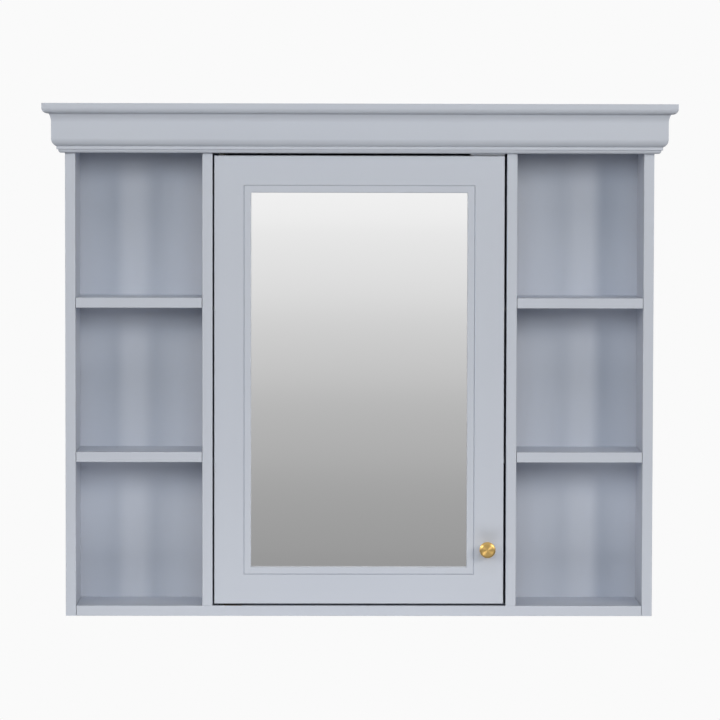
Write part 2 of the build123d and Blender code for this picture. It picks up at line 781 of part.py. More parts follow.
with BuildPart() as catch_poles:
    for low in (strike_z - half_magnet - pole_thickness, strike_z + half_magnet):
        slab(*magnet_limits, catch_block_front - pole_proud, magnet_rear_y, low, low + pole_thickness)
save(catch_poles, "catch_poles")
save_set(pan_screw(board_screw_length, small_screw_r, small_head_r), catch_screws_at, "catch_screws")

with BuildPart() as strike_plate:
    with BuildSketch(Plane(origin=(catch_x, door_rear_y, strike_z), x_dir=rightward, z_dir=wallward)):
        RectangleRounded(strike_width, strike_height, strike_height / 6)
    extrude(amount=strike_thickness)
    with Locations(*strike_screws_at):
        CounterSinkHole(small_screw_r + fit, small_screw_r + strike_thickness, 2 * strike_thickness, 90)
save(strike_plate, "strike_plate")
strike_screw = sunk_screw(board_screw_length, small_screw_r, small_screw_r + strike_thickness - fit)
save_set(strike_screw, strike_screws_at, "strike_screws")

# Loose shelves behind the door, each on four pins
for height, word in zip(inner_shelf_heights, ("lower", "upper")):
    with BuildPart() as inner_shelf:
        slab(
            -opening_half + inner_shelf_play,
            opening_half - inner_shelf_play,
            door_rear_y + inner_shelf_behind_door,
            back_front_y - inner_shelf_rear_play,
            floor_z + height,
            floor_z + height + inner_shelf_thickness,
        )
        ease_front(inner_shelf, Axis.X)
    save(inner_shelf, f"inner_shelf_{word}")

with BuildPart() as shelf_pins:
    for side, _ in sides:
        with Locations(*pin_places(side, (0,))):
            Cylinder(pin_r, pin_plug, align=(Align.CENTER, Align.CENTER, Align.MAX))
            Box(pin_tongue_height, pin_tongue_width, pin_tongue, align=(Align.CENTER, Align.CENTER, Align.MIN))
save(shelf_pins, "shelf_pins")
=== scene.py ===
"""A wall-hung mirror cabinet, dressed and lit for the camera.

Metres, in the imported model's frame: +Z up, +X to the viewer's right, +Y to the wall, so the door faces -Y. The
sizes of finishes and of new pieces are written in millimetres and turned to metres where they are used.
"""

import json
import logging
import math
from dataclasses import dataclass
from enum import Enum
from typing import Any

import bpy
from mathutils import Matrix, Vector

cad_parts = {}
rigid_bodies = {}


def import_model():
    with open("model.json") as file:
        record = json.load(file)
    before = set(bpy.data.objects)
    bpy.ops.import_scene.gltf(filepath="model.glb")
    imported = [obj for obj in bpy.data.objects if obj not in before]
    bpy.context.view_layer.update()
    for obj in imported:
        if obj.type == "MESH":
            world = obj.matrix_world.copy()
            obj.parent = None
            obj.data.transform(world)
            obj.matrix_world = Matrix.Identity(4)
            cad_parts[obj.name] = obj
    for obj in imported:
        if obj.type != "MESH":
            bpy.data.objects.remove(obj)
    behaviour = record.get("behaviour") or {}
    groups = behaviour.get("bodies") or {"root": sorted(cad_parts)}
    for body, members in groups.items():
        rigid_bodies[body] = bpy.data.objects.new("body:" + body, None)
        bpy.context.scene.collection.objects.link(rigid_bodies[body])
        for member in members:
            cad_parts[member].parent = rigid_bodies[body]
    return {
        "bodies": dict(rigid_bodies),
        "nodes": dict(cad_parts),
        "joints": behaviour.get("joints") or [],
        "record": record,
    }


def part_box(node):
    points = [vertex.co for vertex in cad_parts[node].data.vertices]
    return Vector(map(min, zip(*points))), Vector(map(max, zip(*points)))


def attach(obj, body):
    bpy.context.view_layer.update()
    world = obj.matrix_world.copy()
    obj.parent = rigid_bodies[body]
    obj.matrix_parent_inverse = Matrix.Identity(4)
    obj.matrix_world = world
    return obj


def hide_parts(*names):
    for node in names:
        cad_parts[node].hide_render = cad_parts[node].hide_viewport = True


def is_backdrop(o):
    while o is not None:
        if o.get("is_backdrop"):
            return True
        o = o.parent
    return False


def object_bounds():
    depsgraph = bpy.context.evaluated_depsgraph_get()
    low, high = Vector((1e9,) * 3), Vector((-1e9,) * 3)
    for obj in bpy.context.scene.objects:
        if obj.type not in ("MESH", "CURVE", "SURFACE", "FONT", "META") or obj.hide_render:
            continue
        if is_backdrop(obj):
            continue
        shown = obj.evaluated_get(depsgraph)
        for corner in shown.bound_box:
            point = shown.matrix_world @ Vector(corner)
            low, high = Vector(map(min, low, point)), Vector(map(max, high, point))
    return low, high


LOG = logging.getLogger("mirror_cabinet")
MM = 0.001


def linear(hex_colour: str) -> tuple[float, float, float, float]:
    """Turns an sRGB colour to the linear one that shaders take.

    Args:
        hex_colour: six hexadecimal digits, such as "b9bfca".

    Returns:
        Red, green, blue and an alpha of 1.
    """
    values = []
    for start in (0, 2, 4):
        value = int(hex_colour[start : start + 2], 16) / 255
        values.append(value / 12.92 if value <= 0.04045 else ((value + 0.055) / 1.055) ** 2.4)
    return (values[0], values[1], values[2], 1.0)


def add_node(
    tree: bpy.types.NodeTree,
    kind: str,
    inputs: dict[str | int, Any] | None = None,
    settings: dict[str, Any] | None = None,
) -> bpy.types.Node:
    """Adds one node to a tree.

    Args:
        tree: the node tree.
        kind: the node's type, without its ShaderNode prefix.
        inputs: a value, or another node's output to link, for each input by name or number.
        settings: the node's own properties by name.

    Returns:
        The new node.
    """
    node = tree.nodes.new("ShaderNode" + kind)
    for name, value in (settings or {}).items():
        setattr(node, name, value)
    for key, value in (inputs or {}).items():
        if isinstance(value, bpy.types.NodeSocket):
            tree.links.new(value, node.inputs[key])
        else:
            node.inputs[key].default_value = value
    return node


def new_material(name: str) -> tuple[bpy.types.Material, bpy.types.NodeTree]:
    """Makes an empty node material.

    Args:
        name: the material's name.

    Returns:
        The material and its node tree, with nothing in it.
    """
    material = bpy.data.materials.new(name)
    material.use_nodes = True
    material.node_tree.nodes.clear()
    return material, material.node_tree


def finish_material(tree: bpy.types.NodeTree, shader: bpy.types.Node) -> None:
    """Links a shader to the material's output.

    Args:
        tree: the material's node tree.
        shader: the node that gives the surface.
    """
    add_node(tree, "OutputMaterial", {"Surface": shader.outputs[0]})


class Direction(Enum):
    """The way that a grain or a brushing runs, as the number of an axis of the cabinet's frame."""

    ACROSS = 0
    DEEP = 1
    UP = 2


@dataclass(frozen=True)
class Finish:
    """What a surface is made of and how it was worked."""

    name: str
    colour: str
    roughness: float

    def build(self) -> bpy.types.Material:
        """Makes the material.

        Returns:
            The material, with its pattern on the object's own coordinates.
        """
        material, tree = new_material(self.name)
        place = add_node(tree, "TexCoord").outputs["Object"]
        finish_material(tree, self.lay_out(tree, place))
        return material

    def lay_out(self, tree: bpy.types.NodeTree, place: bpy.types.NodeSocket) -> bpy.types.Node:
        """Adds the nodes of the surface; each kind of finish does it its own way.

        Args:
            tree: the material's node tree.
            place: the position on the object.

        Returns:
            The node that gives the surface.
        """
        raise NotImplementedError


@dataclass(frozen=True)
class SprayedLacquer(Finish):
    """Two-part polyurethane lacquer, sprayed over sealed fibreboard.

    It gives the eye an even, cool grey with no grain, a soft broad sheen and the faint ripple of a sprayed film.
    """

    shade: str
    gloss_spread: float = 0.03
    # The real ripple is about a millimetre across, and is drawn a little coarser so that it shows.
    peel_mm: float = 2.4
    peel_height_mm: float = 0.012
    cloud_mm: float = 160.0

    def lay_out(self, tree: bpy.types.NodeTree, place: bpy.types.NodeSocket) -> bpy.types.Node:
        """Adds broad, faint clouds of tone and gloss, and the film's ripple.

        Args:
            tree: the material's node tree.
            place: the position on the object.

        Returns:
            The node that gives the surface.
        """
        clouds = add_node(tree, "TexNoise", {
            "Vector": place, "Scale": 1 / (self.cloud_mm * MM), "Detail": 2.0, "Roughness": 0.5,
        })
        tone = add_node(tree, "Mix", {
            "Factor": clouds.outputs["Fac"], "A": linear(self.shade), "B": linear(self.colour),
        }, {"data_type": "RGBA"})
        peel = add_node(tree, "TexNoise", {
            "Vector": place, "Scale": 1 / (self.peel_mm * MM), "Detail": 1.0,
        })
        gloss = add_node(tree, "MapRange", {
            "Value": clouds.outputs["Fac"],
            "To Min": self.roughness - self.gloss_spread, "To Max": self.roughness + self.gloss_spread,
        })
        bump = add_node(tree, "Bump", {
            "Height": peel.outputs["Fac"], "Strength": 0.6, "Distance": self.peel_height_mm * MM,
        })
        return add_node(tree, "BsdfPrincipled", {
            "Base Color": tone.outputs["Result"], "Roughness": gloss.outputs["Result"],
            "Normal": bump.outputs["Normal"], "IOR": 1.5,
        })


@dataclass(frozen=True)
class SilveredGlass(Finish):
    """Float glass, silvered at the back.

    It gives the eye a clear, even reflection with the faintest ripple.
    """

    ripple_mm: float = 300.0
    ripple_height_mm: float = 0.004

    def lay_out(self, tree: bpy.types.NodeTree, place: bpy.types.NodeSocket) -> bpy.types.Node:
        """Adds the slow ripple of float glass.

        Args:
            tree: the material's node tree.
            place: the position on the object.

        Returns:
            The node that gives the surface.
        """
        ripple = add_node(tree, "TexNoise", {
            "Vector": place, "Scale": 1 / (self.ripple_mm * MM), "Detail": 0.0,
        })
        bump = add_node(tree, "Bump", {
            "Height": ripple.outputs["Fac"], "Strength": 1.0, "Distance": self.ripple_height_mm * MM,
        })
        return add_node(tree, "BsdfPrincipled", {
            "Base Color": linear(self.colour), "Metallic": 1.0, "Roughness": self.roughness,
            "Normal": bump.outputs["Normal"],
        })


@dataclass(frozen=True)
class BrushedMetal(Finish):
    """Metal rolled or drawn one way.

    Its fine parallel scratches give the eye highlights that are stretched across them.
    """

    way: Direction
    gloss_spread: float = 0.06
    scratch_mm: float = 0.25
    scratch_length_mm: float = 30.0
    scratch_height_mm: float = 0.004

    def lay_out(self, tree: bpy.types.NodeTree, place: bpy.types.NodeSocket) -> bpy.types.Node:
        """Adds the scratches.

        Args:
            tree: the material's node tree.
            place: the position on the object.

        Returns:
            The node that gives the surface.
        """
        stretch = [1 / (self.scratch_mm * MM)] * 3
        stretch[self.way.value] = 1 / (self.scratch_length_mm * MM)
        drawn = add_node(tree, "Mapping", {"Vector": place, "Scale": tuple(stretch)})
        scratches = add_node(tree, "TexNoise", {
            "Vector": drawn.outputs["Vector"], "Scale": 1.0, "Detail": 3.0,
        })
        gloss = add_node(tree, "MapRange", {
            "Value": scratches.outputs["Fac"],
            "To Min": self.roughness - self.gloss_spread, "To Max": self.roughness + self.gloss_spread,
        })
        bump = add_node(tree, "Bump", {
            "Height": scratches.outputs["Fac"], "Strength": 0.5, "Distance": self.scratch_height_mm * MM,
        })
        return add_node(tree, "BsdfPrincipled", {
            "Base Color": linear(self.colour), "Metallic": 1.0, "Roughness": gloss.outputs["Result"],
            "Normal": bump.outputs["Normal"],
        })


@dataclass(frozen=True)
class PlatedSteel(Finish):
    """Bright zinc over pressed steel.

    It gives the eye a blue-white shine, faintly mottled.
    """

    shade: str
    gloss_spread: float = 0.08
    mottle_mm: float = 1.5
    mottle_height_mm: float = 0.01

    def lay_out(self, tree: bpy.types.NodeTree, place: bpy.types.NodeSocket) -> bpy.types.Node:
        """Adds the mottled tone and gloss of the plating.

        Args:
            tree: the material's node tree.
            place: the position on the object.

        Returns:
            The node that gives the surface.
        """
        mottle = add_node(tree, "TexNoise", {
            "Vector": place, "Scale": 1 / (self.mottle_mm * MM), "Detail": 4.0, "Roughness": 0.6,
        })
        tone = add_node(tree, "Mix", {
            "Factor": mottle.outputs["Fac"], "A": linear(self.shade), "B": linear(self.colour),
        }, {"data_type": "RGBA"})
        gloss = add_node(tree, "MapRange", {
            "Value": mottle.outputs["Fac"],
            "To Min": self.roughness - self.gloss_spread, "To Max": self.roughness + self.gloss_spread,
        })
        bump = add_node(tree, "Bump", {
            "Height": mottle.outputs["Fac"], "Strength": 0.3, "Distance": self.mottle_height_mm * MM,
        })
        return add_node(tree, "BsdfPrincipled", {
            "Base Color": tone.outputs["Result"], "Metallic": 1.0, "Roughness": gloss.outputs["Result"],
            "Normal": bump.outputs["Normal"],
        })


@dataclass(frozen=True)
class TurnedBrass(Finish):
    """Brass turned on a lathe and brushed in circles.

    It gives the eye highlights that fan out from the centre of the turning, over very fine rings.
    """

    shade: str
    centre: Vector
    ring_mm: float = 0.45
    ring_height_mm: float = 0.002

    def lay_out(self, tree: bpy.types.NodeTree, place: bpy.types.NodeSocket) -> bpy.types.Node:
        """Adds rings about the axis that runs front to back through the centre.

        Args:
            tree: the material's node tree.
            place: the position on the object.

        Returns:
            The node that gives the surface.
        """
        local = add_node(
            tree, "Mapping", {"Vector": place, "Location": tuple(-self.centre)}, {"vector_type": "POINT"}
        )
        parts = add_node(tree, "SeparateXYZ", {"Vector": local.outputs["Vector"]})
        flat = add_node(tree, "CombineXYZ", {"X": parts.outputs["X"], "Z": parts.outputs["Z"]})
        reach = add_node(tree, "VectorMath", {"Vector": flat.outputs["Vector"]}, {"operation": "LENGTH"})
        # The lathe's marks run round the axis, so the pattern changes only with the distance from it.
        rings = add_node(tree, "TexNoise", {
            "W": reach.outputs["Value"], "Scale": 1 / (self.ring_mm * MM), "Detail": 3.0,
        }, {"noise_dimensions": "1D"})
        tone = add_node(tree, "Mix", {
            "Factor": rings.outputs["Fac"], "A": linear(self.shade), "B": linear(self.colour),
        }, {"data_type": "RGBA"})
        # Marks that run round the axis spread the light outwards, so the shader's tangent is the radius.
        tangent = add_node(tree, "VectorMath", {0: flat.outputs["Vector"]}, {"operation": "NORMALIZE"})
        bump = add_node(tree, "Bump", {
            "Height": rings.outputs["Fac"], "Strength": 0.5, "Distance": self.ring_height_mm * MM,
        })
        return add_node(tree, "BsdfPrincipled", {
            "Base Color": tone.outputs["Result"], "Metallic": 1.0, "Roughness": self.roughness,
            "Anisotropic": 0.9, "Tangent": tangent.outputs["Vector"], "Normal": bump.outputs["Normal"],
        })


@dataclass(frozen=True)
class SawnWood(Finish):
    """Wood left bare after the plane or the lathe.

    It gives the eye long grain lines, darker where the year's growth slowed, and a dry, matt face.
    """

    shade: str
    way: Direction
    ring_mm: float = 5.0
    # Where the tree's heart lies, so that the board is cut from beside it.
    heart_mm: tuple[float, float, float] = (0.0, 70.0, -45.0)
    # How far the rings drift along the board, as a share of how they run across it.
    drift: float = 0.05
    waver_mm: float = 71.0
    waver_reach_mm: float = 30.0
    pore_mm: float = 1.1
    pore_length_mm: float = 40.0

    def lay_out(self, tree: bpy.types.NodeTree, place: bpy.types.NodeSocket) -> bpy.types.Node:
        """Adds growth rings cut lengthwise, with fine pores along them.

        Args:
            tree: the material's node tree.
            place: the position on the object.

        Returns:
            The node that gives the surface.
        """
        along = self.way.value
        stretch = [1.0, 1.0, 1.0]
        stretch[along] = self.drift
        heart = tuple(value * MM for value in self.heart_mm)
        drawn = add_node(tree, "Mapping", {"Vector": place, "Location": heart, "Scale": tuple(stretch)})
        waver = add_node(tree, "TexNoise", {
            "Vector": drawn.outputs["Vector"], "Scale": 1 / (self.waver_mm * MM), "Detail": 2.0,
        })
        moved = add_node(tree, "VectorMath", {
            0: waver.outputs["Color"], 1: (self.waver_reach_mm * MM,) * 3, 2: drawn.outputs["Vector"],
        }, {"operation": "MULTIPLY_ADD"})
        # A wave texture repeats every 2 pi / 20 of its scaled unit.
        grain = add_node(tree, "TexWave", {
            "Vector": moved.outputs["Vector"], "Scale": math.tau / 20 / (self.ring_mm * MM),
        }, {"wave_type": "RINGS", "rings_direction": "XYZ"[along], "wave_profile": "SAW"})
        pores = [1 / (self.pore_mm * MM)] * 3
        pores[along] = 1 / (self.pore_length_mm * MM)
        stretched = add_node(tree, "Mapping", {"Vector": place, "Scale": tuple(pores)})
        fine = add_node(tree, "TexNoise", {
            "Vector": stretched.outputs["Vector"], "Scale": 1.0, "Detail": 2.0,
        })
        mixed = add_node(tree, "Mix", {
            "Factor": 0.3, "A": grain.outputs["Fac"], "B": fine.outputs["Fac"],
        }, {"data_type": "FLOAT"})
        tone = add_node(tree, "Mix", {
            "Factor": mixed.outputs["Result"], "A": linear(self.colour), "B": linear(self.shade),
        }, {"data_type": "RGBA"})
        bump = add_node(tree, "Bump", {
            "Height": fine.outputs["Fac"], "Strength": 0.4, "Distance": 0.05 * MM,
        })
        return add_node(tree, "BsdfPrincipled", {
            "Base Color": tone.outputs["Result"], "Roughness": self.roughness,
            "Normal": bump.outputs["Normal"], "IOR": 1.5,
        })


@dataclass(frozen=True)
class MouldedPlastic(Finish):
    """Plastic or ferrite pressed against a spark-eroded tool.

    It gives the eye an even colour with a fine matt texture.
    """

    gloss_spread: float = 0.05
    texture_mm: float = 0.5
    texture_height_mm: float = 0.01

    def lay_out(self, tree: bpy.types.NodeTree, place: bpy.types.NodeSocket) -> bpy.types.Node:
        """Adds the tool's texture.

        Args:
            tree: the material's node tree.
            place: the position on the object.

        Returns:
            The node that gives the surface.
        """
        texture = add_node(tree, "TexNoise", {
            "Vector": place, "Scale": 1 / (self.texture_mm * MM), "Detail": 2.0,
        })
        gloss = add_node(tree, "MapRange", {
            "Value": texture.outputs["Fac"],
            "To Min": self.roughness - self.gloss_spread, "To Max": self.roughness + self.gloss_spread,
        })
        bump = add_node(tree, "Bump", {
            "Height": texture.outputs["Fac"], "Strength": 0.5, "Distance": self.texture_height_mm * MM,
        })
        return add_node(tree, "BsdfPrincipled", {
            "Base Color": linear(self.colour), "Roughness": gloss.outputs["Result"],
            "Normal": bump.outputs["Normal"], "IOR": 1.5,
        })


@dataclass
class Assembly:
    """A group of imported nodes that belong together."""

    frame: dict[str, Any]
    finishes: dict[str, bpy.types.Material]

    def build(self) -> None:
        """Builds and dresses the group; each kind of group does it its own way."""
        raise NotImplementedError

    def wear(self, finish: str, *nodes: str) -> None:
        """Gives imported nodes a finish.

        Args:
            finish: the finish's key.
            nodes: the nodes' names.
        """
        material = self.finishes[finish]
        for name in nodes:
            for slot in self.frame["nodes"][name].material_slots:
                slot.material = material
            LOG.info("%s: %s in %s", type(self).__name__, name, material.name)


@dataclass
class Case(Assembly):
    """The boards, the niches and the rail that the cabinet hangs by."""

    def build(self) -> None:
        """Dresses the case."""
        self.wear("board", "side_panel_left", "side_panel_right", "partition_left", "partition_right")
        self.wear("board", "top_board", "bottom_board", "header_rail")
        for side in ("left", "right"):
            self.wear("board", f"niche_shelf_{side}_lower", f"niche_shelf_{side}_upper")
        self.wear("panel", "back_panel")
        self.wear("pine", "hanging_rail")
        self.wear("beech", "case_dowels", "shelf_dowels")


@dataclass
class Crown(Assembly):
    """The cap, the mitred fascia and the bead below it."""

    def build(self) -> None:
        """Dresses the crown."""
        self.wear("board", "crown_cap")
        for side in ("front", "left", "right"):
            self.wear("board", f"crown_fascia_{side}", f"crown_bead_{side}")
        self.wear("zinc", "crown_screws")


@dataclass
class Door(Assembly):
    """The framed mirror."""

    def build(self) -> None:
        """Dresses the door."""
        self.wear("board", "door_stile_left", "door_stile_right", "door_rail_top", "door_rail_bottom")
        for side in ("top", "bottom", "left", "right"):
            self.wear("board", f"mirror_strip_{side}")
        self.wear("mirror", "mirror_glass")
        self.wear("panel", "door_backing_board")
        self.wear("beech", "door_dowels")
        self.wear("strip_steel", "retaining_clips")
        self.wear("zinc", "retaining_clip_screws")


@dataclass
class Knob(Assembly):
    """The turned knob: a foot, a waist and a head with a softly rounded front edge."""

    turns: int = 96
    smooth_under: float = 40  # degrees between faces
    # Each pair is a radius and how far out of the door's face it lies, in millimetres.
    profile: tuple[tuple[float, float], ...] = (
        # the foot
        (6.5, 0.0), (6.5, 1.9), (6.42, 2.25), (6.15, 2.45), (5.75, 2.6), (5.2, 3.05), (4.75, 3.75),
        # the waist
        (4.5, 4.7), (4.5, 10.8), (4.6, 12.0), (4.95, 13.1), (5.7, 14.0), (6.9, 14.6), (8.6, 14.92),
        # the head
        (10.8, 15.0), (11.35, 15.12), (11.62, 15.45), (11.7, 15.9), (11.7, 19.1), (11.62, 19.6),
        (11.4, 20.2), (11.0, 20.85), (10.45, 21.4), (9.8, 21.75), (9.2, 21.92), (8.6, 21.98),
        (8.2, 22.0), (7.9, 22.0), (3.0, 21.99),
    )

    def build(self) -> None:
        """Turns the knob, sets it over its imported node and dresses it."""
        low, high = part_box("knob")
        foot = Vector(((low.x + high.x) / 2, high.y, (low.z + high.z) / 2))
        bpy.ops.object.select_all(action="DESELECT")
        radius, out = self.profile[0]
        bpy.ops.mesh.primitive_circle_add(
            vertices=self.turns, radius=radius * MM, fill_type="NGON",
            location=foot, rotation=(math.radians(90), 0, 0),
        )
        knob = bpy.context.object
        knob.name = knob.data.name = "turned_knob"
        bpy.ops.object.mode_set(mode="EDIT")
        bpy.ops.mesh.select_all(action="SELECT")
        for next_radius, next_out in self.profile[1:]:
            step = (0, -(next_out - out) * MM, 0)
            bpy.ops.mesh.extrude_region_move(TRANSFORM_OT_translate={"value": step})
            grow = next_radius / radius
            bpy.ops.transform.resize(value=(grow, 1, grow), center_override=foot)
            radius, out = next_radius, next_out
        bpy.ops.mesh.poke()
        bpy.ops.mesh.select_all(action="SELECT")
        bpy.ops.mesh.normals_make_consistent(inside=False)
        bpy.ops.object.mode_set(mode="OBJECT")
        bpy.ops.object.transform_apply(location=True, rotation=True, scale=True)
        bpy.ops.object.shade_smooth_by_angle(angle=math.radians(self.smooth_under))
        knob.data.materials.append(self.finishes["turned_brass"])
        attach(knob, "door")
        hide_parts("knob")
        self.wear("turned_brass", "knob")
        self.wear("zinc", "knob_screw")


@dataclass
class PivotHinges(Assembly):
    """The brass leaves let into the door's ends and the case, with their pins and washers."""

    def build(self) -> None:
        """Dresses the hinges."""
        for end in ("lower", "upper"):
            self.wear("strip_brass", f"pivot_leaf_case_{end}", f"pivot_leaf_door_{end}")
        self.wear("rod_steel", "pivot_pins")
        self.wear("nylon", "pivot_washers")
        self.wear("zinc", "pivot_screws_case", "pivot_screws_door")


@dataclass
class Catch(Assembly):
    """The magnetic catch over the door's free end, and its strike plate."""

    def build(self) -> None:
        """Dresses the catch."""
        self.wear("grey_plastic", "catch_body")
        self.wear("ferrite", "catch_magnet")
        self.wear("strip_steel", "catch_poles", "strike_plate")
        self.wear("zinc", "catch_screws", "strike_screws")


@dataclass
class LooseShelves(Assembly):
    """The two shelves behind the door, and their pins."""

    def build(self) -> None:
        """Dresses the shelves."""
        self.wear("board", "inner_shelf_lower", "inner_shelf_upper")
        self.wear("zinc", "shelf_pins")


def mix_finishes(knob_centre: Vector) -> dict[str, bpy.types.Material]:
    """Makes the cabinet's materials.

    Args:
        knob_centre: the middle of the knob, which its lathe marks run round.

    Returns:
        Each material by the key that the assemblies call it by.
    """
    grey, grey_shade = "c0c5d0", "bcc1cd"
    finishes = {
        # The boards: satin lacquer on fibreboard, a cool light grey that takes a soft sheen.
        "board": SprayedLacquer("satin_lacquer", grey, 0.42, grey_shade),
        # The thin panels: the same lacquer in one thinner coat, a little flatter.
        "panel": SprayedLacquer("panel_lacquer", grey, 0.5, grey_shade),
        # The hanging rail: planed pine, pale yellow with wide soft grain.
        "pine": SawnWood("planed_pine", "dcc29a", 0.6, "c9a574", Direction.ACROSS),
        # The dowels: turned beech, pinker and much closer in the grain.
        "beech": SawnWood("turned_beech", "d9b98c", 0.6, "cfa878", Direction.ACROSS, ring_mm=2.0),
        # The mirror: silvered float glass, which shows its surroundings sharply and a touch darker.
        "mirror": SilveredGlass("silvered_glass", "f5f5f5", 0.01),
        # The knob: brass turned and brushed in circles, a warm yellow with fans of light.
        "turned_brass": TurnedBrass("turned_brass", "e6c683", 0.38, "d2aa62", knob_centre),
        # The hinge leaves: brass cut from rolled strip, yellow with a straight, silky shine.
        "strip_brass": BrushedMetal("rolled_brass", "d9b066", 0.3, Direction.ACROSS),
        # The clips and plates: steel cut from rolled strip, a grey and silky shine.
        "strip_steel": BrushedMetal("rolled_steel", "bfc2c6", 0.35, Direction.ACROSS),
        # The hinge pins: drawn steel rod, with its fine marks along the pin.
        "rod_steel": BrushedMetal("drawn_steel", "bfc2c6", 0.35, Direction.UP),
        # The screws and shelf pins: zinc plate, blue-white and faintly mottled.
        "zinc": PlatedSteel("bright_zinc", "cdd1d6", 0.33, "b9bec6"),
        # The washers: black nylon, dark with a dull shine.
        "nylon": MouldedPlastic("black_nylon", "1b1b1d", 0.5),
        # The catch's body: grey ABS, even and matt.
        "grey_plastic": MouldedPlastic("grey_abs", "a9adb6", 0.5),
        # The catch's magnet: sintered ferrite, nearly black and dry.
        "ferrite": MouldedPlastic("sintered_ferrite", "2a2a2c", 0.6),
    }
    return {key: finish.build() for key, finish in finishes.items()}


class SeenBy(Enum):
    """The one kind of ray that a stage piece is there for."""

    CAMERA = "visible_camera"
    REFLECTIONS = "visible_glossy"


COOL_WHITE = "dff0ff"
PLAIN_WHITE = "ffffff"
WARM_WHITE = "fff8ec"


@dataclass(frozen=True)
class SoftBox:
    """One soft light, seen from the cabinet's middle."""

    name: str
    azimuth: float  # degrees to the viewer's right of straight in front
    elevation: float  # degrees up
    away: float  # metres
    size: tuple[float, float]  # width and height in metres
    power: float  # watts
    colour: str
    shines: bool = False  # whether polished surfaces show it

    def hang(self, aim: Vector) -> None:
        """Hangs the light.

        Args:
            aim: the point that it faces.
        """
        light = bpy.data.lights.new(self.name, "AREA")
        light.shape = "RECTANGLE"
        light.color = linear(self.colour)[:3]
        light.size, light.size_y = self.size
        light.energy = self.power
        box = bpy.data.objects.new(self.name, light)
        bpy.context.scene.collection.objects.link(box)
        turn, lift = math.radians(self.azimuth), math.radians(self.elevation)
        way = Vector((math.sin(turn) * math.cos(lift), -math.cos(turn) * math.cos(lift), math.sin(lift)))
        box.location = aim + way * self.away
        box.rotation_euler = way.to_track_quat("Z", "Y").to_euler()
        box.visible_glossy = self.shines


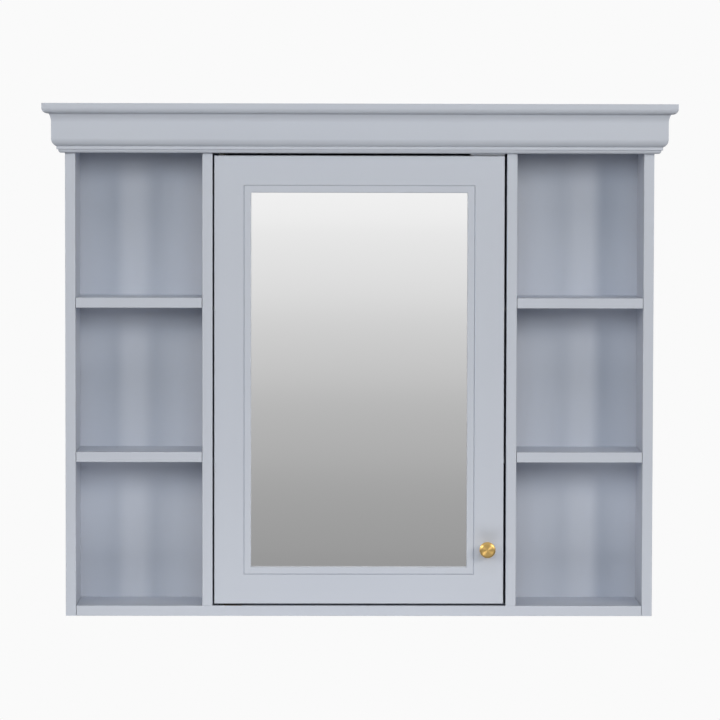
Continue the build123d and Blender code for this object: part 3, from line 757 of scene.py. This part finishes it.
@dataclass
class Studio:
    """The pale floor, the white surroundings, the card that the mirror shows and the soft lights."""

    white: str = "fafafa"
    floor_below: float = 1.3
    floor_reach: float = 7.0
    # The grey of the glowing floor's middle, a painted shade that fades to the surroundings' white at its edge.
    floor_shaded_middle: str = "e2e3e5"
    dome_reach: float = 30.0
    card_reach: float = 8.0
    card_height: float = 8.0
    card_middle: float = 1.6
    # Each pair is a height in metres and the grey that the card has there.
    card_tones: tuple[tuple[float, float], ...] = (
        (-1.5, 0.34), (-1.365, 0.354), (-1.08, 0.435), (-0.8, 0.557), (-0.52, 0.728), (-0.24, 0.884),
        (-0.1, 0.96), (0.5, 0.97), (1.6, 0.9), (3.5, 0.85),
    )
    fill_colour: str = "daedff"
    fill_strength: float = 0.012
    # The lights meet at the middle of the cabinet's front.
    aim: tuple[float, float, float] = (0.0, -0.1, -0.28)
    boxes: tuple[SoftBox, ...] = (
        # The broad cool light from the front that the boards are seen by.
        SoftBox("soft_box_front", 0, 14, 5.0, (2.5, 1.2), 47.5, COOL_WHITE),
        SoftBox("soft_box_upper", 0, 28, 4.0, (2.5, 0.9), 6, COOL_WHITE),
        # The light from above that the shelves and the crown's underside are shaded by.
        SoftBox("soft_box_overhead", 0, 48, 3.0, (2.5, 0.9), 11.5, PLAIN_WHITE),
        # Two warmer pairs at the sides, which light the niches' inner sides and the knob.
        SoftBox("soft_box_left", -33, 14, 4.0, (0.45, 1.2), 24.9, WARM_WHITE, shines=True),
        SoftBox("soft_box_right", 33, 14, 4.0, (0.45, 1.2), 38, WARM_WHITE, shines=True),
        SoftBox("soft_box_far_left", -50, 14, 4.0, (0.6, 1.2), 26, WARM_WHITE, shines=True),
        SoftBox("soft_box_far_right", 50, 14, 4.0, (0.6, 1.2), 20.3, WARM_WHITE, shines=True),
        # A weak light from below for the undersides.
        SoftBox("soft_box_low", 0, -55, 0.95, (1.2, 0.3), 3.1, PLAIN_WHITE),
        # Two beside the cabinet for its side panels, and two behind for its back.
        SoftBox("soft_box_side_left", -103, 12, 4.0, (1.2, 1.5), 55, PLAIN_WHITE),
        SoftBox("soft_box_side_right", 103, 12, 4.0, (1.2, 1.5), 55, PLAIN_WHITE),
        SoftBox("soft_box_back_left", -145, 20, 4.0, (1.5, 1.5), 90, PLAIN_WHITE),
        SoftBox("soft_box_back_right", 145, 20, 4.0, (1.5, 1.5), 90, PLAIN_WHITE),
    )

    def build(self, low: Vector) -> None:
        """Sets the stage.

        Args:
            low: the lowest corner of the object.
        """
        self.build_floor(low.z - self.floor_below)
        self.build_dome()
        self.build_card()
        self.build_world()
        for box in self.boxes:
            box.hang(Vector(self.aim))

    def build_floor(self, height: float) -> None:
        """Makes the round, pale floor, which glows instead of being lit, with painted shade: greyer in the
        middle and lightening outwards until it meets the white surroundings.

        Args:
            height: its level.
        """
        bpy.ops.object.select_all(action="DESELECT")
        bpy.ops.mesh.primitive_circle_add(
            vertices=128, radius=self.floor_reach, fill_type="NGON", location=(0, 0, height)
        )
        floor = bpy.context.object
        material, tree = new_material("floor_painted_glow")
        place = add_node(tree, "TexCoord").outputs["Object"]
        parts = add_node(tree, "SeparateXYZ", {"Vector": place})
        flat = add_node(tree, "CombineXYZ", {"X": parts.outputs["X"], "Y": parts.outputs["Y"]})
        reach = add_node(tree, "VectorMath", {"Vector": flat.outputs["Vector"]}, {"operation": "LENGTH"})
        spread = add_node(tree, "MapRange", {
            "Value": reach.outputs["Value"], "From Min": 0.0, "From Max": self.floor_reach,
        }, {"interpolation_type": "SMOOTHSTEP"})
        # Painted shade: the floor's glow is greyer in the middle and lighter outwards, and no lamp lights it.
        tone = add_node(tree, "Mix", {
            "Factor": spread.outputs["Result"], "A": linear(self.floor_shaded_middle), "B": linear(self.white),
        }, {"data_type": "RGBA"})
        glow = add_node(tree, "Emission", {"Color": tone.outputs["Result"]})
        # From below the floor is clear, so that it never stands before the object.
        under = add_node(tree, "NewGeometry").outputs["Backfacing"]
        clear = add_node(tree, "BsdfTransparent")
        paper = add_node(tree, "MixShader", {0: under, 1: glow.outputs[0], 2: clear.outputs[0]})
        finish_material(tree, paper)
        self.dress(floor, "studio_floor", material, SeenBy.CAMERA)
        floor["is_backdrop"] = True

    def build_dome(self) -> None:
        """Makes the white surroundings."""
        bpy.ops.object.select_all(action="DESELECT")
        bpy.ops.mesh.primitive_uv_sphere_add(segments=48, ring_count=24, radius=self.dome_reach)
        dome = bpy.context.object
        material, tree = new_material("dome_white")
        finish_material(tree, add_node(tree, "Emission", {"Color": linear(self.white)}))
        self.dress(dome, "studio_dome", material, SeenBy.CAMERA)
        dome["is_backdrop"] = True

    def build_card(self) -> None:
        """Makes the closed round card that the mirror shows, bright from eye level up and grey below."""
        bpy.ops.object.select_all(action="DESELECT")
        bpy.ops.mesh.primitive_cylinder_add(
            vertices=96, radius=self.card_reach, depth=self.card_height, end_fill_type="NGON",
            location=(0, 0, self.card_middle),
        )
        card = bpy.context.object
        material, tree = new_material("card_gradient")
        place = add_node(tree, "TexCoord").outputs["Object"]
        height = add_node(tree, "SeparateXYZ", {"Vector": place}).outputs["Z"]
        low, high = self.card_tones[0][0], self.card_tones[-1][0]
        level = add_node(tree, "MapRange", {"Value": height, "From Min": low, "From Max": high})
        tones = add_node(tree, "ValToRGB", {"Fac": level.outputs["Result"]})
        ramp = tones.color_ramp
        ramp.interpolation = "CARDINAL"
        for at, tone in self.card_tones[1:-1]:
            ramp.elements.new((at - low) / (high - low)).color = (tone, tone, tone, 1)
        for end in (0, -1):
            tone = self.card_tones[end][1]
            ramp.elements[end].color = (tone, tone, tone, 1)
        finish_material(tree, add_node(tree, "Emission", {"Color": tones.outputs["Color"]}))
        self.dress(card, "studio_card", material, SeenBy.REFLECTIONS)
        card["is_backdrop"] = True

    @staticmethod
    def dress(piece: bpy.types.Object, name: str, material: bpy.types.Material, seen_by: SeenBy) -> None:
        """Names a new stage piece, gives it its material and hides it from all but one kind of ray.

        Args:
            piece: the stage piece, just added and still selected.
            name: its name.
            material: its material.
            seen_by: the rays that meet it.
        """
        piece.name = name
        bpy.ops.object.transform_apply(location=True, rotation=True, scale=True)
        piece.data.materials.append(material)
        for ray in ("camera", "diffuse", "glossy", "transmission", "volume_scatter", "shadow"):
            setattr(piece, f"visible_{ray}", f"visible_{ray}" == seen_by.value)

    def build_world(self) -> None:
        """Sets the even light that fills the shadows."""
        world = bpy.data.worlds.new("studio_fill")
        bpy.context.scene.world = world
        world.use_nodes = True
        tree = world.node_tree
        tree.nodes.clear()
        fill = add_node(tree, "Background", {
            "Color": linear(self.fill_colour), "Strength": self.fill_strength,
        })
        add_node(tree, "OutputWorld", {"Surface": fill.outputs[0]})


@dataclass
class Viewpoint:
    """The camera, where the photograph was taken from."""

    place: tuple[float, float, float] = (-0.068, -5.753, 0.0275)
    # Degrees that it is turned to the right, tilted up and rolled about its line of sight.
    yaw: float = 0.70
    pitch: float = -3.07
    roll: float = 0.12
    lens_mm: float = 192.35
    sensor_mm: float = 36
    sees_to: float = 100

    def build(self) -> None:
        """Sets up the camera."""
        data = bpy.data.cameras.new("camera")
        data.sensor_width = self.sensor_mm
        data.lens = self.lens_mm
        data.clip_end = self.sees_to
        camera = bpy.data.objects.new("camera", data)
        bpy.context.scene.collection.objects.link(camera)
        camera.location = self.place
        turned = (
            Matrix.Rotation(math.radians(-self.yaw), 4, "Z")
            @ Matrix.Rotation(math.radians(90 + self.pitch), 4, "X")
            @ Matrix.Rotation(math.radians(self.roll), 4, "Z")
        )
        camera.rotation_euler = turned.to_euler()
        bpy.context.scene.camera = camera


def main() -> None:
    """Builds everything in order."""
    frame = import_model()
    cad_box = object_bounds()
    bpy.context.scene.view_settings.view_transform = "Standard"
    low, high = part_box("knob")
    finishes = mix_finishes((low + high) / 2)
    for part in (Case, Crown, Door, Knob, PivotHinges, Catch, LooseShelves):
        part(frame, finishes).build()
    Studio().build(cad_box[0])
    Viewpoint().build()


if __name__ == "__main__":
    logging.basicConfig(level=logging.INFO, format="%(message)s")
    main()
